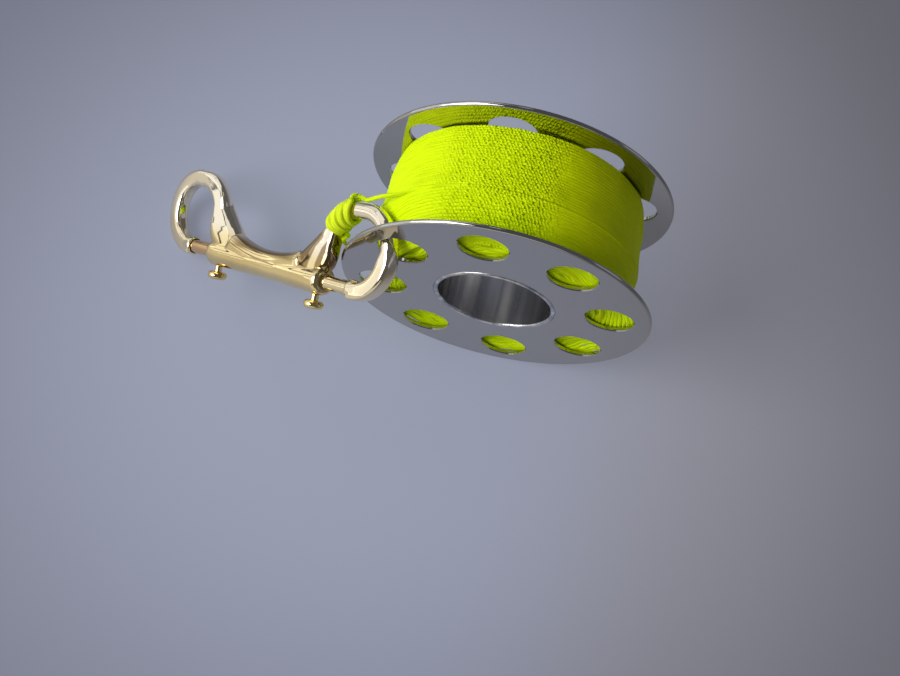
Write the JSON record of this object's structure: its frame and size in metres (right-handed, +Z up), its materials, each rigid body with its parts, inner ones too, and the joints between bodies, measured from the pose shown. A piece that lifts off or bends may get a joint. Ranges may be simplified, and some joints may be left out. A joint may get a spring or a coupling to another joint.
{
  "type": "fishing line spool",
  "caption": "Finger spool: two drilled flanges on a hub tube, wound with braided line, with a double-ended bolt snap clipped to a flange and tied to the line.",
  "frame": {"origin": "middle of the finger bore, halfway between the flanges", "axes": "+Y along the bore from the front flange to the rear one, +Z up, +X to the right seen from the front; the snap is on the -X side"},
  "size_m": [0.1665, 0.0536, 0.095],
  "materials": {
    "flange_steel": "polished stainless steel",
    "hub_steel": "brushed stainless steel",
    "line": "braided fluorescent yellow-green nylon",
    "snap_metal": "cast and polished pale bronze",
    "bolt_metal": "turned and polished bronze",
    "knob_metal": "turned and polished bronze",
    "spring_wire": "drawn stainless wire"
  },
  "bodies": {
    "spool": {"front_flange": "flange_steel", "rear_flange": "flange_steel", "hub_tube": "hub_steel", "line_core": "line", "line_outer_layer": "line", "line_lead": "line", "line_return": "line"},
    "snap": {"snap_body": "snap_metal", "line_hitch": "line", "left_spring": "spring_wire", "right_spring": "spring_wire"},
    "left_bolt": {"left_bolt": "bolt_metal", "left_knob": "knob_metal"},
    "right_bolt": {"right_bolt": "bolt_metal", "right_knob": "knob_metal"}
  },
  "joints": [
    {"name": "snap_swing", "type": "hinge", "parent": "spool", "child": "snap", "pos_m": [-0.0315, -0.0189, 0.0213], "axis": [0, 1, 0], "range_deg": [0, 60], "deforming": ["line_lead", "line_return"]},
    {"name": "left_bolt_slide", "type": "slide", "parent": "snap", "child": "left_bolt", "axis": [0.7745, -0.2667, 0.5736], "range_m": [0, 0.009], "stiffness_N_per_m": 250, "springref_m": -0.006, "deforming": ["left_spring"]},
    {"name": "right_bolt_slide", "type": "slide", "parent": "snap", "child": "right_bolt", "axis": [-0.7745, 0.2667, -0.5736], "range_m": [0, 0.009], "stiffness_N_per_m": 250, "springref_m": -0.006, "deforming": ["right_spring"]}
  ]
}
